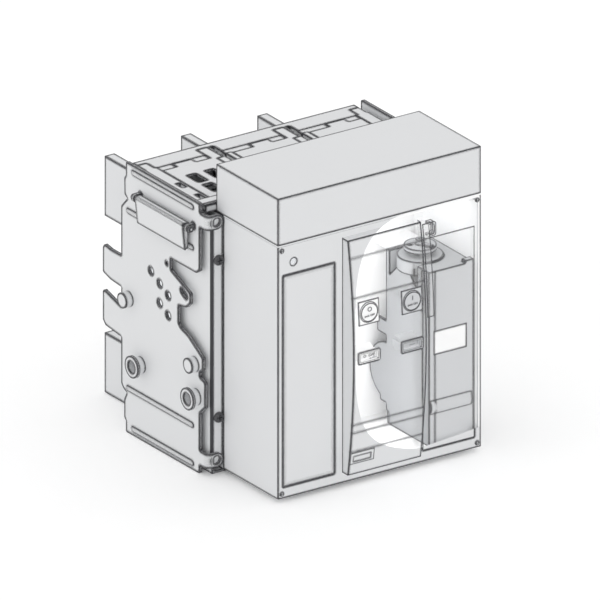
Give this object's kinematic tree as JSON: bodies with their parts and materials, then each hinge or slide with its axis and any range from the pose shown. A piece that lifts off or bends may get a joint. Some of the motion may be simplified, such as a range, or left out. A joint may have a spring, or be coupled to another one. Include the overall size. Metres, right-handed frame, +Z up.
{
  "type": "switch disconnector",
  "caption": "Draw-out switch disconnector on a sheet-steel chassis, with vertical rear connectors, arc chutes, clear front and a spring charging gear motor.",
  "frame": {"origin": "centre of the four floor holes, on the underside of the chassis", "axes": "+Z up, +X to the right seen from the front, +Y to the back; the front cover faces -Y"},
  "size_m": [0.317, 0.3642, 0.3374],
  "materials": {
    "sheet_steel": "satin",
    "turned_steel": "satin",
    "grey_moulding": "matte",
    "tinned_copper": "satin",
    "motor_grey": "matte",
    "clear_moulding": "clear",
    "white_moulding": "matte",
    "black_screws": "satin"
  },
  "bodies": {
    "chassis": {"side_plate_left": "sheet_steel", "side_plate_right": "sheet_steel", "inner_plate_left": "sheet_steel", "inner_plate_right": "sheet_steel", "guide_pins_left": "turned_steel", "guide_pins_right": "turned_steel", "guide_track_left": "turned_steel", "guide_track_right": "turned_steel", "chassis_floor": "sheet_steel", "rear_base": "grey_moulding", "top_strip_left": "sheet_steel", "top_strip_right": "sheet_steel", "upper_connector_left": "tinned_copper", "upper_connector_centre": "tinned_copper", "upper_connector_right": "tinned_copper", "lower_connector_left": "tinned_copper", "lower_connector_centre": "tinned_copper", "lower_connector_right": "tinned_copper", "upper_jaws": "tinned_copper", "lower_jaws": "tinned_copper", "connector_bolts": "turned_steel", "shield_bracket": "turned_steel", "terminal_shield": "grey_moulding", "terminal_block": "white_moulding", "flange_screws_left": "black_screws", "flange_screws_right": "black_screws"},
    "switch_unit": {"pole_case": "grey_moulding", "arc_chute_left": "grey_moulding", "arc_chute_centre": "grey_moulding", "arc_chute_right": "grey_moulding", "upper_blades": "tinned_copper", "lower_blades": "tinned_copper", "runner_left": "turned_steel", "runner_right": "turned_steel", "front_cover": "grey_moulding", "blanking_panel": "grey_moulding", "clear_panel": "clear_moulding", "fascia": "clear_moulding", "cover_screws": "black_screws", "name_plate": "grey_moulding", "button_bezels": "grey_moulding", "motor_housing": "motor_grey", "motor_can": "motor_grey", "motor_bracket": "turned_steel", "mechanism_frame": "turned_steel", "closing_spring": "turned_steel", "handle_bracket": "grey_moulding"},
    "contact_shaft": {"pole_shaft": "turned_steel", "contact_arms": "tinned_copper"},
    "on_push": {"on_button": "grey_moulding"},
    "off_push": {"off_button": "grey_moulding"},
    "handle": {"charging_handle": "grey_moulding"},
    "motor_drive": {"drive_wheel": "motor_grey"},
    "contact_indicator": {"position_flag": "white_moulding"},
    "spring_indicator": {"charge_flag": "white_moulding"},
    "ratchet_shaft": {"main_shaft": "turned_steel"},
    "grip_left": {"side_grip_left": "sheet_steel"},
    "grip_right": {"side_grip_right": "sheet_steel"}
  },
  "joints": [
    {"name": "draw_out", "type": "slide", "parent": "chassis", "child": "switch_unit", "axis": [0, -1, 0], "range_m": [0, 0.08]},
    {"name": "contact_turn", "type": "hinge", "parent": "switch_unit", "child": "contact_shaft", "pos_m": [0, -0.007, 0.062], "axis": [-1, 0, 0], "range_deg": [0, 16.5]},
    {"name": "position_flag_turn", "type": "hinge", "parent": "switch_unit", "child": "contact_indicator", "pos_m": [-0.027, -0.1716, 0.14775], "axis": [1, 0, 0], "range_deg": [0, 60]},
    {"name": "charge_flag_turn", "type": "hinge", "parent": "switch_unit", "child": "spring_indicator", "pos_m": [0.026, -0.1716, 0.14775], "axis": [1, 0, 0], "range_deg": [0, 60]},
    {"name": "on_press", "type": "slide", "parent": "switch_unit", "child": "on_push", "axis": [0, 1, 0], "range_m": [0, 0.004], "stiffness_N_per_m": 500},
    {"name": "off_press", "type": "slide", "parent": "switch_unit", "child": "off_push", "axis": [0, 1, 0], "range_m": [0, 0.004], "stiffness_N_per_m": 500},
    {"name": "handle_pull", "type": "hinge", "parent": "switch_unit", "child": "handle", "pos_m": [0.0486, -0.155, 0.182], "axis": [1, 0, 0], "range_deg": [0, 75], "stiffness_Nm_per_rad": 0.2, "springref_deg": -17.19},
    {"name": "drive_wheel_turn", "type": "hinge", "parent": "switch_unit", "child": "motor_drive", "pos_m": [0.0838, -0.1155, 0.22], "axis": [0, 0, 1], "continuous": true},
    {"name": "ratchet_turn", "type": "hinge", "parent": "switch_unit", "child": "ratchet_shaft", "pos_m": [-0.028, -0.087, 0.118], "axis": [-1, 0, 0], "continuous": true},
    {"name": "grip_left_fold", "type": "hinge", "parent": "chassis", "child": "grip_left", "pos_m": [-0.1525, 0.005, 0.2695], "axis": [0, 1, 0], "range_deg": [0, 90]},
    {"name": "grip_right_fold", "type": "hinge", "parent": "chassis", "child": "grip_right", "pos_m": [0.1525, 0.005, 0.2695], "axis": [0, -1, 0], "range_deg": [0, 90]}
  ],
  "couplings": [
    {"joint": "position_flag_turn", "follows": "contact_turn", "ratio": 3.6}
  ]
}
